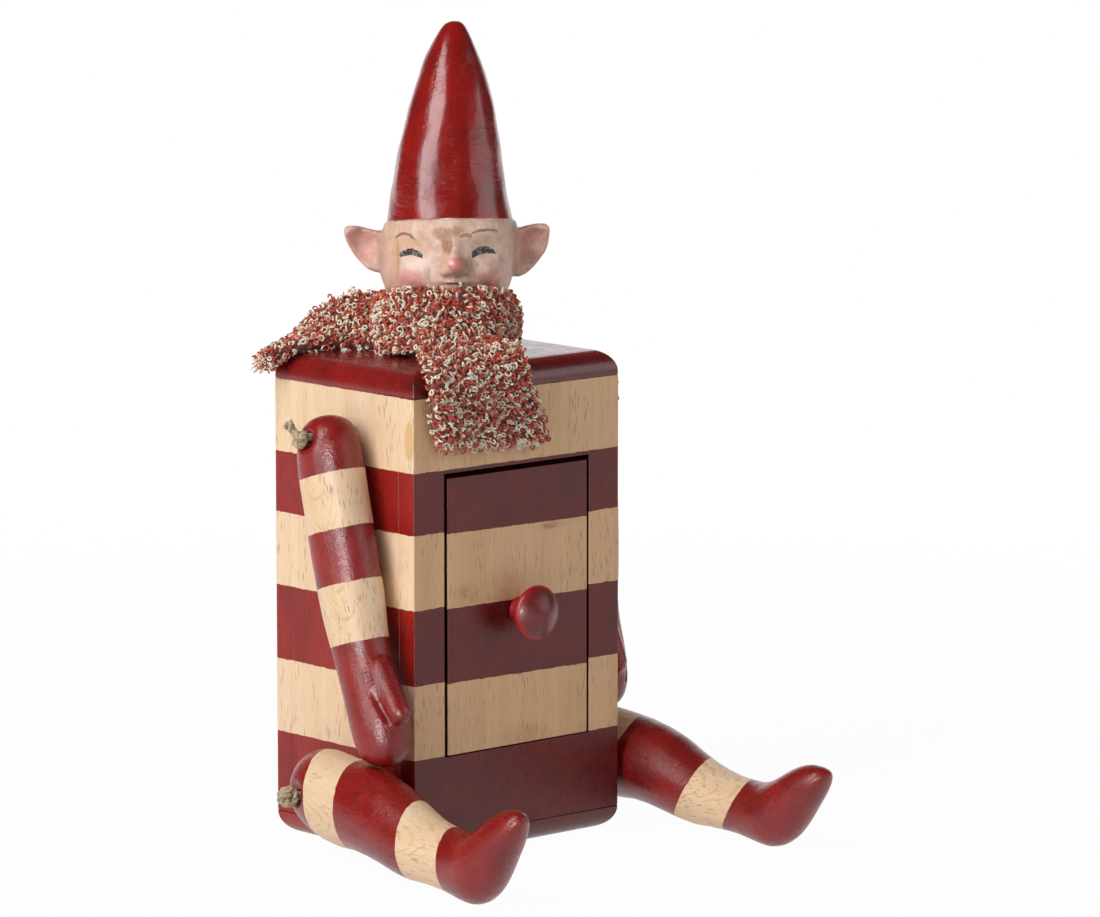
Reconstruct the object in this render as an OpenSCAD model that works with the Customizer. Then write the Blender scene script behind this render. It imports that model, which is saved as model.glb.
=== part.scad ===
// Sitting box elf: a striped wooden box with a drawer in its front, carved limbs
// strung on twine, a moulded head under a cone hat, and a knitted scarf.
// Origin: middle of the box's underside. The front faces -Y and +Z is up.
// Left and right are the toy's own, so its right side is -X.

/* [Box] */
// Width of the box across its front
box_w = 80; // [74:1:96]
// Depth of the box from front to back
box_d = 63; // [60:1:80]
// Height of the box
box_h = 144.5; // [142:0.5:160]
// Thickness of the top board
top_t = 7.5; // [7:0.5:12]
// Thickness of the bottom board
bottom_t = 6.8; // [6.6:0.2:10]
// Radius of the rounding on the outer edges of both boards
edge_r = 6.5; // [3:0.5:6.5]
// Thickness of the front frame, the back panel and the drawer's front
panel_t = 6.7; // [5:0.1:8]
// Thickness of the side panels
side_t = 7; // [5:0.5:8]

/* [Drawer] */
// Width of the opening in the front frame
opening_w = 56.6; // [50:0.2:60]
// Height of the front frame above its opening
rail_h = 22.8; // [21:0.2:30]
// Height of the opening's sill above the underside of the box
sill_z = 30.6; // [29:0.2:32]
// Gap between the drawer's front and each side of its opening
side_gap = 0.7; // [0.4:0.1:1.2]
// Gap above the drawer's front
top_gap = 1.2; // [0.6:0.1:2]
// Running gap under the drawer, and between its tray and the guides
run_gap = 0.3; // [0.2:0.05:0.5]
// Thickness of the tray's sides and back
tray_t = 4; // [3:0.5:6]
// Thickness of the tray's bottom
tray_bottom_t = 3; // [2:0.5:5]
// Height of the tray's sides above its bottom
tray_h = 58; // [40:1:64]
// Gap between the tray and the back panel
tray_back_gap = 1; // [0.6:0.1:4]
// Thickness of the shelf that the drawer slides on
shelf_t = 5; // [3:0.5:7]
// Thickness of the board above the drawer
ceiling_t = 4; // [3:0.5:6]
// Gap between the drawer's opening and the board above it
ceiling_gap = 0.4; // [0.2:0.1:1]
// Height of the guide strips beside the tray
guide_h = 12; // [8:1:30]

/* [Knob] */
// Height of the knob's axis above the sill
knob_up = 40.6; // [30:0.2:50]
// Diameter of the knob's cap
knob_d = 16.6; // [12:0.2:20]
// How far the knob stands out of the drawer's front
knob_l = 13.2; // [11:0.2:16]
// Diameter of the knob's neck
knob_neck_d = 7; // [6:0.5:8]
// Diameter of the screw's shank
screw_d = 3; // [2.5:0.1:3.5]
// Diameter of the screw's head
screw_head_d = 6.4; // [5:0.2:8]
// Height of the screw's head
screw_head_t = 2; // [1.5:0.1:3]
// Depth of the screw in the knob
screw_grip = 6; // [4:0.5:7]
// Gap round the screw's shank
screw_gap = 0.05; // [0.05:0.05:0.2]

/* [Limbs] */
// Distance from the top of the box down to the shoulder twine
shoulder_down = 19.5; // [16:0.5:20.5]
// Height of the hip twine above the underside of the box
hip_z = 20; // [19:0.5:21]
// How far both twines lie forward of the box's middle
cord_y = 5; // [2:0.5:7]
// Gap between a limb and the box's side
limb_gap = 0.7; // [0.5:0.1:1.5]
// Gap between a hand and the thigh below it
hand_gap = 0.4; // [0.3:0.1:1]
// Largest thickness of an arm, side to side
arm_t = 19.2; // [16:0.2:20]
// Largest width of an arm, front to back
arm_w = 20.4; // [18:0.2:21]
// Largest thickness of a leg, side to side
leg_t = 24; // [20:0.5:26]
// Length of a leg from the hip's axis to the toe
leg_l = 98.6; // [92:0.2:104]
// Outward turn of the right leg
right_splay = 5; // [2:0.5:6]
// Outward turn of the left leg
left_splay = 3; // [2:0.5:6]
// How much less the left foot turns up at its toe
left_toe_drop = 2.8; // [0:0.2:4]
// How much further back the left arm hangs than the right one
left_arm_back = 12; // [6:1:13]
// Diameter of the twine
cord_d = 2.4; // [2:0.1:3]
// Gap round the twine in its holes
cord_gap = 0.35; // [0.3:0.05:0.6]
// Diameter of a knot in the twine
knot_d = 6.4; // [5:0.2:7]
// Gap between a knot and the recess that it sits in
knot_gap = 0.4; // [0.3:0.1:0.8]
// Depth of the recess round a limb's hole for the knot
recess = 2.8; // [1.5:0.1:3.5]
// Length of the twine's loose end past each knot
cord_tail = 2.6; // [2:0.2:6]

/* [Head and hat] */
// Turn of the face away from the box's front, towards the toy's right
face_turn = 36; // [0:1:60]
// Height of the head's underside above the top board
neck_h = 5; // [3:0.5:6]
// Height of the head from its underside to the hat
head_h = 33.5; // [32:0.5:36]
// Largest radius of the head
head_r = 20.3; // [19.5:0.1:21]
// Slope of the seam between head and hat, higher at the forehead
hat_slope = 8.5; // [0:0.5:12]
// Height of the hat along its axis
hat_h = 59.2; // [45:0.2:75]
// Radius of the hat at its seam
hat_r = 18.7; // [16:0.1:18.9]
// How far the head's crown and the hat's foot lie towards the toy's left
crown_shift = 1; // [0:0.1:1.5]
// How far the hat's tip leans further towards the toy's left
hat_lean = 2.2; // [0:0.2:5]
// Reach of an ear's tip from the head's axis
ear_reach = 30; // [27:0.5:32]
// Thickness of an ear
ear_t = 4; // [3:0.5:5]
// Diameter of the neck dowel
dowel_d = 10; // [8:0.5:11]
// Gap round the dowel in the head
dowel_gap = 0.1; // [0.1:0.05:0.2]
// Depth of the dowel's hole in the head
dowel_grip = 20; // [15:1:24]

/* [Scarf] */
// Width of the scarf laid flat
scarf_w = 41; // [34:1:42]
// Thickness of the scarf where it lies in one layer
scarf_t = 4.6; // [3.6:0.2:5]
// Gap between the scarf and what it lies on
scarf_gap = 0.4; // [0.3:0.1:0.6]
// Depth of the soft folds along the hanging ends
scarf_fold = 0.7; // [0.2:0.1:0.8]
// How far the front end hangs below the top of the box
scarf_drop = 22.5; // [16:0.5:26]

/* [Hidden] */

RED = [0.5, 0.08, 0.07];
BEECH = [0.85, 0.7, 0.5];
SKIN = [0.85, 0.66, 0.55];
TWINE = [0.75, 0.66, 0.5];
KNIT = [0.75, 0.35, 0.28];

// Box and drawer
right = -1;
left = 1;
inner_w = box_w - 2*side_t;
inner_d = box_d - 2*panel_t;
walls_h = box_h - top_t - bottom_t;
front_w = opening_w - 2*side_gap;
opening_h = box_h - top_t - rail_h - sill_z;
drawer_z = sill_z + run_gap;
front_h = opening_h - top_gap - run_gap;
tray_l = inner_d - tray_back_gap;
tray_z = drawer_z + tray_bottom_t;
guide_w = (inner_w - front_w)/2 - run_gap;
ceiling_z = sill_z + opening_h + ceiling_gap;
knob_z = sill_z + knob_up;

shoulder_z = box_h - shoulder_down;

// Limbs. An arm's side outline in horizontal slices, down from the shoulder's axis:
// [drop, back edge, front edge, half thickness], edges forward of the axis,
// for an arm 20.4 mm wide and a leg 98.6 mm long from a hip 20 mm high
arm_slices = [[-5.8, 0.4, 1.4, 0.05], [-5, -3, 5.2, 0.45], [-3, -6, 7.7, 0.72], [0, -7.8, 9.3, 0.9],
    [4, -8.3, 10.5, 0.98], [10, -8, 12, 1], [20, -5.9, 14.2, 1], [32, -2.9, 17.4, 1],
    [44, 0.3, 20.2, 0.98], [54, 3.5, 22.2, 0.92], [62, 6.5, 24.4, 0.86], [70, 9.6, 28, 0.86],
    [78, 12.8, 31.4, 0.9], [84, 15.2, 32.8, 0.88], [88.5, 17.4, 32.4, 0.78], [91.2, 19.8, 30.4, 0.55],
    [92.8, 23.2, 27.4, 0.15]];
// A leg's side outline in upright slices, forward from the hip's axis:
// [forward, underside, top, half thickness], heights from the hip's axis
leg_slices = [[-11.4, -1, 0.2, 0.05], [-10.2, -3.6, 3.8, 0.3], [-7.8, -7, 7.6, 0.55], [-4, -10, 11, 0.79],
    [2, -12.4, 12.8, 0.93], [12, -14.4, 12, 1], [24, -14, 11, 1], [36, -16, 8.4, 0.94],
    [46, -17.8, 4.2, 0.86], [56, -17.6, 1.2, 0.76], [66, -18.4, 0, 0.7], [73, -19.6, 0.2, 0.72],
    [79, -19.3, 3, 0.75], [85, -15.2, 7.2, 0.64], [90, -8, 9.8, 0.52], [95, 0, 10.4, 0.38],
    [97.4, 5, 9.8, 0.22], [98.6, 7.4, 8.8, 0.05]];
arm_wide = arm_w/20.4;
leg_long = leg_l/98.6;
leg_high = hip_z/20;
// The thumb: [drop, forward, radius] at its root and at its end
thumb = [[64.5, 23.5, 3.6], [76.5, 31.8, 3.5]];
slice_sides = 20;
slices_per_row = 1.7;
// Height of the thigh's top above the hip's axis, below the right and the left hand
right_seat = 10.4;
left_seat = 13.1;
hand_low = arm_slices[len(arm_slices) - 1];
toe = leg_slices[len(leg_slices) - 1][0];
arm_x = box_w/2 + limb_gap + arm_t/2;
leg_x = box_w/2 + limb_gap + leg_t/2;
cord_bore_d = cord_d + 2*cord_gap;
knot_x = knot_gap + knot_d/2 - recess;

// Lengthwise fit of an arm that hangs back by an angle, so that its hand ends above the thigh
function arm_fit(seat, back) = (shoulder_z - hip_z - seat - hand_gap)
    /(hand_low[0]*cos(back) + hand_low[1]*arm_wide*sin(back));

// Head and hat: [height above the head's underside, share of the largest radius]
head_rows = [[0, 0.37], [1.2, 0.5], [4, 0.6], [7.5, 0.7], [11.5, 0.83], [14.5, 0.9], [18, 0.95],
    [22, 0.98], [26, 1], [30, 0.98], [33.5, 0.943]];
rows_top = 33.5;   // head height that the rows are drawn for
jaw_row = 16.5;    // the face stands out above this height
crown_row = 20;    // the crown begins to slope above this height
// [share of the hat's height, share of its radius]
hat_rows = [[0, 1], [0.07, 0.95], [0.19, 0.885], [0.34, 0.8], [0.5, 0.715], [0.65, 0.6], [0.81, 0.44],
    [0.91, 0.27], [0.965, 0.16], [0.99, 0.09], [1, 0.01]];
// An ear's outline: [out from the head's axis as a share of its reach, up from the head's underside]
ear_rows = [[0.5, 20], [0.68, 19], [0.8, 20.6], [0.92, 24.6], [0.985, 29], [1, 31.6], [0.94, 32.4],
    [0.82, 31.9], [0.68, 30.8], [0.5, 30.4]];
left_ear_fuller = 1.6;
left_ear_lower = 2;
head_sides = 44;
hat_sides = 30;
head_z = box_h + neck_h;

// Scarf, from the top of the box: [x, y, z] of its middle and [x, y, z] of half its width.
// Widths are shares of half the flat width, and the last number is its thickness in layers.
// Both ends leave the wrap, whose sizes follow the head's, and reach the box's edges.
neck_k = head_r/20.3;
front_y = -box_d/2;
front_end = [
    [[-9.7*neck_k, -16.4*neck_k, 10.5], [0.5, -0.3, 0], 1.2],
    [[-12.4*neck_k, -21*neck_k, 6], [0.68, -0.24, 0], 1.2],
    [[-16, front_y + 3.5, 4], [0.78, -0.14, 0], 1.1], [[-18.2, front_y - 1.8, 1.4], [0.85, -0.04, 0], 1],
    [[-17.7, front_y - 4, -5], [0.88, 0, 0], 1], [[-14.7, front_y - 3.3, -13], [0.94, 0, 0.02], 1],
    [[-11.6, front_y - 2.9, -scarf_drop], [1.03, 0, -0.05], 1]];
side_x = -box_w/2;
back_y = box_d/2;
rear_end = [
    [[-9*neck_k, 15.5*neck_k, 10], [0.18, 0.15, 0.15], 2.3], [[-17, back_y - 7, 9], [0.1, 0.24, 0.08], 2.8],
    [[side_x + 13.5, back_y - 2, 5.4], [0.05, 0.26, 0], 1.9],
    [[side_x + 4, back_y - 0.5, 2.6], [0.02, 0.25, -0.02], 1],
    [[side_x - 3, back_y, 0.6], [0, 0.22, -0.02], 0.8], [[side_x - 5.6, back_y, -2], [0, 0.18, 0], 0.6]];
wrap_sides = 14;
wrap_steps = 32;

// Smooth curve through the rows of p, for t from 0 to the last row's number
function curve(p, t) = let(n = len(p) - 1, i = min(floor(t), n - 1), f = t - i,
    a = p[max(i - 1, 0)], b = p[i], c = p[i + 1], d = p[min(i + 2, n)])
    0.5*(2*b + (c - a)*f + (2*a - 5*b + 4*c - d)*f*f + (3*b - a - 3*c + d)*f*f*f);

// Smooth step from 0 to 1
function ease(t) = let(k = min(max(t, 0), 1)) k*k*(3 - 2*k);

function steps(p, per_row) = ceil((len(p) - 1)*per_row);

function curve_points(p, per_row) = let(n = steps(p, per_row))
    [for (i = [0:n]) curve(p, i*(len(p) - 1)/n)];

// Points of an arc
function arc(x, y, r, from, to, n = 10) =
    [for (i = [0:n]) let(a = from + (to - from)*i/n) [x + r*cos(a), y + r*sin(a)]];

// Closed skin through rings of the same number of points, each ring anticlockwise
// when seen from the next one
module skin(rings, closed = false) {
    m = len(rings[0]);
    n = len(rings);
    last = closed ? n - 1 : n - 2;
    points = [for (ring = rings) for (p = ring) p];
    walls = [for (i = [0:last], j = [0:m - 1])
        let(a = i*m + j, b = i*m + (j + 1)%m, c = ((i + 1)%n)*m + j, d = ((i + 1)%n)*m + (j + 1)%m)
        for (f = [[a, c, b], [b, c, d]]) f];
    caps = closed ? [] : concat([for (j = [1:m - 2]) [0, j, j + 1]],
        [for (j = [1:m - 2]) let(k = (n - 1)*m) [k, k + j + 1, k + j]]);
    polyhedron(points, concat(walls, caps));
}

// Outline of a board on edge, w wide and t thick, its upper corners rounded
module board_outline(w, t) {
    r = min(edge_r, t);
    polygon(concat([[-w/2, 0], [w/2, 0]], arc(w/2 - r, t - r, r, 0, 90),
        arc(-w/2 + r, t - r, r, 90, 180)));
}

// Board whose four upper edges are rounded and meet in mitres
module rounded_board(t) {
    intersection() {
        rotate([90, 0, 0]) linear_extrude(box_d, center = true) board_outline(box_w, t);
        rotate([90, 0, 90]) linear_extrude(box_w, center = true) board_outline(box_d, t);
    }
}

// Block given by its size, centred in X, with y and z of its lower front edge
module block(w, l, h, y, z, x = 0) {
    translate([x - w/2, y, z]) cube([w, l, h]);
}

// Hole along X for the twine at height z
module cord_hole(z) {
    translate([-box_w, -cord_y, z]) rotate([0, 90, 0])
        cylinder(d = cord_bore_d, h = 2*box_w, $fn = 32);
}

module top_board() color(RED) difference() {
    translate([0, 0, box_h - top_t]) rounded_board(top_t);
    translate([0, 0, box_h - top_t - 1]) cylinder(d = dowel_d, h = top_t + 2, $fn = 48);
}

module bottom_board() color(RED) translate([0, 0, bottom_t]) mirror([0, 0, 1]) rounded_board(bottom_t);

module front_frame() color(BEECH) difference() {
    block(box_w, panel_t, walls_h, -box_d/2, bottom_t);
    block(opening_w, panel_t + 2, opening_h, -box_d/2 - 1, sill_z);
}

module back_panel() color(BEECH) block(box_w, panel_t, walls_h, box_d/2 - panel_t, bottom_t);

module side_panel(side) color(BEECH) difference() {
    block(side_t, inner_d, walls_h, -inner_d/2, bottom_t, side*(box_w - side_t)/2);
    cord_hole(shoulder_z);
    cord_hole(hip_z);
}

module right_side() side_panel(right);

module left_side() side_panel(left);

module drawer_shelf() color(BEECH) block(inner_w, inner_d, shelf_t, -inner_d/2, sill_z - shelf_t);

module drawer_ceiling() color(BEECH) block(inner_w, inner_d, ceiling_t, -inner_d/2, ceiling_z);

module drawer_guide(side) color(BEECH)
    block(guide_w, inner_d, guide_h, -inner_d/2, sill_z, side*(inner_w - guide_w)/2);

module drawer_guide_right() drawer_guide(right);

module drawer_guide_left() drawer_guide(left);

// The drawer: its front fills the opening, and its tray stands on a bottom panel behind it
module drawer_front() color(BEECH) difference() {
    block(front_w, panel_t, front_h, -box_d/2, drawer_z);
    translate([0, -box_d/2 - 1, knob_z]) rotate([-90, 0, 0])
        cylinder(d = screw_d + 2*screw_gap, h = panel_t + 2, $fn = 32);
}

module tray_side(side) color(BEECH)
    block(tray_t, tray_l, tray_h, -inner_d/2, tray_z, side*(front_w - tray_t)/2);

module drawer_right_side() tray_side(right);

module drawer_left_side() tray_side(left);

module drawer_back() color(BEECH)
    block(front_w - 2*tray_t, tray_t, tray_h, -inner_d/2 + tray_l - tray_t, tray_z);

module drawer_bottom() color(BEECH) block(front_w, tray_l, tray_bottom_t, -inner_d/2, drawer_z);

// Turned knob: a flared neck under a domed cap with a rolled rim and a shallow ring
module knob() color(RED) translate([0, -box_d/2, knob_z]) rotate([90, 0, 0]) difference() {
    r = knob_d/2;
    neck = knob_neck_d/2;
    rim = knob_l*0.6;
    rotate_extrude($fn = 64) polygon(concat(
        [[0, 0], [neck + 0.6, 0], [neck, knob_l*0.18], [neck, knob_l*0.3]],
        [[neck + 1.4, knob_l*0.42], [r - 1.2, rim - 0.9]],
        arc(r - 1, rim, 1, -70, 60, 6),
        [for (i = [1:8]) let(x = r*(1 - i/8) - (i < 8 ? 0.6 : 0))
            [max(x, 0), rim + (knob_l - rim)*(1 - pow(x/r, 2))*(1 - 0.08*sin(i*45))]]));
    translate([0, 0, -1]) cylinder(d = screw_d + 2*screw_gap, h = screw_grip + 1, $fn = 32);
}

// Screw driven from inside the drawer, with a slotted head
module knob_screw() color([0.7, 0.66, 0.5]) translate([0, -box_d/2 + panel_t, knob_z]) rotate([90, 0, 0]) {
    cylinder(d = screw_d, h = panel_t + screw_grip - 0.4, $fn = 32);
    difference() {
        translate([0, 0, -screw_head_t]) cylinder(d = screw_head_d, h = screw_head_t, $fn = 48);
        block(screw_head_d + 1, 0.9, screw_head_t, -0.45, -1.5*screw_head_t);
    }
}

// Pin glued into the top board; the head sits on its end and turns on it
module neck_dowel() color(BEECH) translate([0, 0, box_h - top_t])
    cylinder(d = dowel_d, h = top_t + neck_h + dowel_grip, $fn = 48);

// Smooth bump of height 1 at (a0, h0), sa degrees and sh millimetres wide
function bump(a, h, a0, h0, sa, sh) =
    exp(-pow((a - a0)/sa, 2) - pow((h - h0)/sh, 2));

// How far the face stands out at angle a from its middle and height h
function face(a, h) = let(b = abs(a))
    3.9*bump(a, h, 0, 22.6, 8, 2.4) + 1.3*bump(a, h, 0, 26.5, 8, 4)
    + 0.5*bump(a, h, 0, 18.2, 16, 1.3)
    + 0.8*bump(b, h, 40, 20.5, 14, 3.5) - 1.1*bump(b, h, 30, 26.3, 13, 2)
    + 0.5*bump(b, h, 28, 30, 18, 2);

function head_point(a, row) = let(h = row[0]*head_h/rows_top,
    r = row[1]*head_r + (row[0] > jaw_row ? face(a > 180 ? a - 360 : a, row[0]) : 0),
    rise = ease((row[0] - crown_row)/(rows_top - crown_row)))
    [r*sin(a) + crown_shift*rise, -r*cos(a), h + tan(hat_slope)*r*cos(a)*rise];

// Leaf-shaped ear, scooped out in front
module ear(side, fuller = 0, lower = 0) {
    outline = curve_points([for (p = ear_rows)
        [side*(p[0]*ear_reach + fuller*bump(p[0], p[1], 0.92, 24.6, 0.2, 5)),
            p[1] - lower*bump(p[0], p[1], 0.72, 19.5, 0.16, 3.5)]], 3);
    difference() {
        translate([0, ear_t/2, 0]) rotate([90, 0, 0]) linear_extrude(ear_t) polygon(outline);
        translate([side*ear_reach*0.84, -7.6, 26.6]) sphere(r = 8.2, $fn = 48);
    }
}

// Moulded head, its underside round so that it turns inside the scarf
module head() color(SKIN) translate([0, 0, head_z]) rotate([0, 0, -face_turn]) difference() {
    union() {
        rows = curve_points(head_rows, 2);
        skin([for (row = rows) [for (j = [0:head_sides - 1])
            let(q = 360*j/head_sides, a = q - 24*sin(q)) head_point(a, row)]]);
        ear(right);
        ear(left, left_ear_fuller, left_ear_lower);
    }
    translate([0, 0, -1]) cylinder(d = dowel_d + 2*dowel_gap, h = dowel_grip + 1, $fn = 48);
}

// Hand-formed cone, a little uneven, standing on the head's sloping top
module hat() color(RED) translate([0, 0, head_z]) rotate([0, 0, -face_turn])
    translate([crown_shift, 0, head_h]) rotate([-hat_slope, 0, 0])
        skin([for (row = curve_points(hat_rows, 2.2))
            let(h = row[0]*hat_h, uneven = 0.3*sin(180*min(row[0]*1.2, 1)))
            [for (j = [0:hat_sides - 1]) let(a = 360*j/hat_sides,
                r = max(row[1], 0.01)*hat_r + uneven*(sin(2*a + 14*h) + 0.6*sin(3*a - 9*h)))
                [hat_lean*row[0] + r*cos(a), r*sin(a), h]]]);

// Rings of a limb from its slices: low and high are the edges of a slice
function slice_ring(low, high, half_t) = [for (j = [0:slice_sides - 1])
    let(a = 360*j/slice_sides) [half_t*cos(a), (low + high)/2 + (high - low)/2*sin(a)]];

// Recess along X for the knot outside a limb whose outer face is at x
module knot_recess(side, x, z) {
    translate([side*(x - recess), -cord_y, z]) rotate([0, side*90, 0])
        cylinder(d = knot_d + 2*knot_gap, h = recess + knot_d, $fn = 48);
}

// Arm hanging from the shoulder's axis, with a mitten hand and a thumb
module arm(side, seat, back = 0, thumb_in = 0) color(RED) difference() {
    fit = arm_fit(seat, back);
    translate([side*arm_x, -cord_y, shoulder_z]) rotate([back, 0, 0]) {
        skin([for (s = curve_points(arm_slices, slices_per_row))
            [for (p = slice_ring(s[1], s[2], s[3]*arm_t/2)) [p[0], -p[1]*arm_wide, -s[0]*fit]]]);
        hull() for (t = thumb)
            translate([0, (thumb_in - t[1])*arm_wide, -t[0]*fit]) sphere(r = t[2], $fn = 16);
    }
    cord_hole(shoulder_z);
    knot_recess(side, arm_x + arm_t/2, shoulder_z);
}

module right_arm() arm(right, right_seat);

module left_arm() arm(left, left_seat, left_arm_back, 1.8);

// Leg from the hip's axis to a boot-like foot whose heel rests on the ground
module leg(side, splay, toe_drop) color(RED) difference() {
    translate([side*leg_x, -cord_y, hip_z])
        skin([for (s = curve_points(leg_slices, slices_per_row))
            let(along = s[0]/toe, fwd = s[0]*leg_long,
                down = toe_drop*pow(max(along - 0.73, 0)/0.27, 1.3),
                slim = 0.6*toe_drop*ease((along - 0.15)/0.35))
            [for (p = slice_ring(s[1]*leg_high, s[2]*leg_high - slim, s[3]*leg_t/2))
                [p[0] + side*fwd*tan(splay), -fwd, p[1] - down]]]);
    cord_hole(hip_z);
    knot_recess(side, leg_x + leg_t/2, hip_z);
}

module right_leg() leg(right, right_splay, 0);

module left_leg() leg(left, left_splay, left_toe_drop);

// Twine through both limbs and the box, knotted in each limb's recess, with a loose end
// that leaves the knot at an angle from straight up
module cord(z, limb_t, tail_turn) color(TWINE) {
    x = box_w/2 + limb_gap + limb_t + knot_x;
    translate([-x, -cord_y, z]) rotate([0, 90, 0]) cylinder(d = cord_d, h = 2*x, $fn = 24);
    for (side = [right, left]) translate([side*x, -cord_y, z]) {
        sphere(d = knot_d, $fn = 32);
        rotate([-15, side*tail_turn, 0]) cylinder(d = cord_d, h = knot_d/2 + cord_tail, $fn = 16);
    }
}

module shoulder_cord() cord(shoulder_z, arm_t, 38);

module hip_cord() cord(hip_z, leg_t, 92);

// Section across the scarf: a flat band with rounded edges and soft folds
function band_ring(row, next, folds, n = 22) = let(mid = row[0], half = row[1]*scarf_w/2,
    along = next - mid, up = cross(half, along), normal = up/norm(up))
    [for (j = [0:n - 1]) let(a = 360*j/n, u = cos(a), v = -sin(a),
        across = sign(u)*pow(abs(u), 0.7), lift = sign(v)*pow(abs(v), 0.7)*row[2]*scarf_t/2)
        mid + half*across + normal*(lift + scarf_fold*cos(180*folds*across))];

module band(rows, folds, n) {
    path = curve_points(rows, 2.6);
    last = len(path) - 1;
    translate([0, 0, box_h]) skin([for (i = [0:last])
        let(next = i < last ? path[i + 1][0] : 2*path[i][0] - path[i - 1][0])
        band_ring(path[i], next, folds, n)]);
}

// The wrap round the neck, higher and fuller below the face, open for the head inside
function wrap_ring(a) = let(front = pow((1 + cos(a))/2, 2), r = neck_k*(17.3 + 3.6*front),
    half_h = neck_k*(7 + 4*front), lump = 0.3*sin(5*a))
    [for (j = [0:wrap_sides - 1]) let(b = -360*j/wrap_sides, up = half_h*sin(b),
        out = r + 0.1*up + (scarf_t/2 + lump + 0.7*front)*cos(b))
        [out*sin(a - face_turn), -out*cos(a - face_turn), half_h + up]];

module scarf() color(KNIT) {
    translate([0, 0, box_h + scarf_gap])
        skin([for (i = [0:wrap_steps - 1]) wrap_ring(360*i/wrap_steps)], closed = true);
    band(front_end, 3, 22);
    band(rear_end, 1, 16);
}

top_board();
bottom_board();
front_frame();
back_panel();
right_side();
left_side();
drawer_shelf();
drawer_ceiling();
drawer_guide_right();
drawer_guide_left();
drawer_front();
drawer_right_side();
drawer_left_side();
drawer_back();
drawer_bottom();
knob();
knob_screw();
neck_dowel();
head();
hat();
scarf();
right_arm();
left_arm();
right_leg();
left_leg();
shoulder_cord();
hip_cord();
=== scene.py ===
import random
from math import cos, exp, pi, radians, sin, tau
import bmesh
import bpy
from mathutils import Matrix, Vector, noise
from mathutils.bvhtree import BVHTree


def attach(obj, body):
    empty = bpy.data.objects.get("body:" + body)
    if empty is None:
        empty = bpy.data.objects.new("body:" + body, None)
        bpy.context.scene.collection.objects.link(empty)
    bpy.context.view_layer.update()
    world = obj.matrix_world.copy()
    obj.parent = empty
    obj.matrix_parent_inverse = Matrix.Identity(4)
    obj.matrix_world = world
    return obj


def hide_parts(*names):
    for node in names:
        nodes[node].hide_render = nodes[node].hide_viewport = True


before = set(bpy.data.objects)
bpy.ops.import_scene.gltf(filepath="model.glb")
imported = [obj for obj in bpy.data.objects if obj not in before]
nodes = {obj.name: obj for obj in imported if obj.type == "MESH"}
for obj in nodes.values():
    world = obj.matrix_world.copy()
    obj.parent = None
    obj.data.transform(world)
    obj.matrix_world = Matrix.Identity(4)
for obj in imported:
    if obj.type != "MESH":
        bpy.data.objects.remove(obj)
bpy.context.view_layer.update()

mm = 0.001
scene = bpy.context.scene


view = {"azimuth": -41.827, "elevation": 8.815, "lens": 196.36, "distance": 1.79625,
        "across": 0.030489, "up": 0.110959}  # middle of the picture, from the middle of the base


def addNew(name, data):
    made = bpy.data.objects.new(name, data)
    scene.collection.objects.link(made)
    return made


def outward(azimuth, elevation=0):  # a direction away from the toy; azimuth 0 is its front
    turn, tilt = radians(azimuth), radians(elevation)
    return Vector((sin(turn)*cos(tilt), -cos(turn)*cos(tilt), sin(tilt)))


def aimed(name, data, place, out):  # a camera or a lamp that looks against out
    made = addNew(name, data)
    made.location = place
    made.rotation_euler = (-out).to_track_quat("-Z", "Y").to_euler()
    return made


def placeCamera():
    back, right = outward(view["azimuth"], view["elevation"]), outward(view["azimuth"] + 90)
    aim = right*view["across"] + back.cross(right)*view["up"]
    data = bpy.data.cameras.new("photoView")
    data.lens = view["lens"]
    data.clip_end = 30
    scene.camera = aimed("photoView", data, aim + back*view["distance"], back)


def put(tree, kind, inputs=None, **settings):
    node = tree.nodes.new("ShaderNode" + kind)
    for name, value in settings.items():
        setattr(node, name, value)
    for name, value in (inputs or {}).items():
        if isinstance(value, bpy.types.NodeSocket):
            tree.links.new(value, node.inputs[name])
        elif value is not None:
            node.inputs[name].default_value = value
    return node.outputs


def feed(kind, inputs, **settings):  # the same, in the tree that its inputs come from
    tree = next(value.id_data for value in inputs.values() if isinstance(value, bpy.types.NodeSocket))
    return put(tree, kind, inputs, **settings)


def link(value, socket):
    value.id_data.links.new(value, socket)


def calc(operation, a, b=None):
    return feed("Math", {0: a, 1: b}, operation=operation)[0]


def times(first, *others):
    for other in others:
        first = calc("MULTIPLY", first, other)
    return first


def plus(first, *others):
    for other in others:
        first = calc("ADD", first, other)
    return first


def minus(a, b):
    return calc("SUBTRACT", a, b)


def mix(amount, a, b):  # colours
    a, b = ((*value, 1) if isinstance(value, tuple) else value for value in (a, b))
    return feed("Mix", {0: amount, 6: a, 7: b}, data_type="RGBA")[2]


def blend(amount, a, b):  # plain values
    return feed("Mix", {0: amount, 2: a, 3: b}, data_type="FLOAT")[0]


def remap(value, low, high, start=0, end=1, smooth=True):
    inputs = {"Value": value, "From Min": low, "From Max": high, "To Min": start, "To Max": end}
    return feed("MapRange", inputs, interpolation_type="SMOOTHSTEP" if smooth else "LINEAR")["Result"]


def axes(vector):
    return feed("SeparateXYZ", {0: vector})


def dot(vector, way):
    return feed("VectorMath", {0: vector, 1: way}, operation="DOT_PRODUCT")["Value"]


def stretched(vector, x, y, z):
    return feed("VectorMath", {0: vector, 1: (x, y, z)}, operation="MULTIPLY")[0]


def turned(vector, x=0, y=0, z=0):
    return feed("Mapping", {"Vector": vector, "Rotation": (radians(x), radians(y), radians(z))})[0]


def cloud(vector, scale, detail=3, rough=0.6):
    return feed("TexNoise", {"Vector": vector, "Scale": scale, "Detail": detail, "Roughness": rough})["Fac"]


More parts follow.
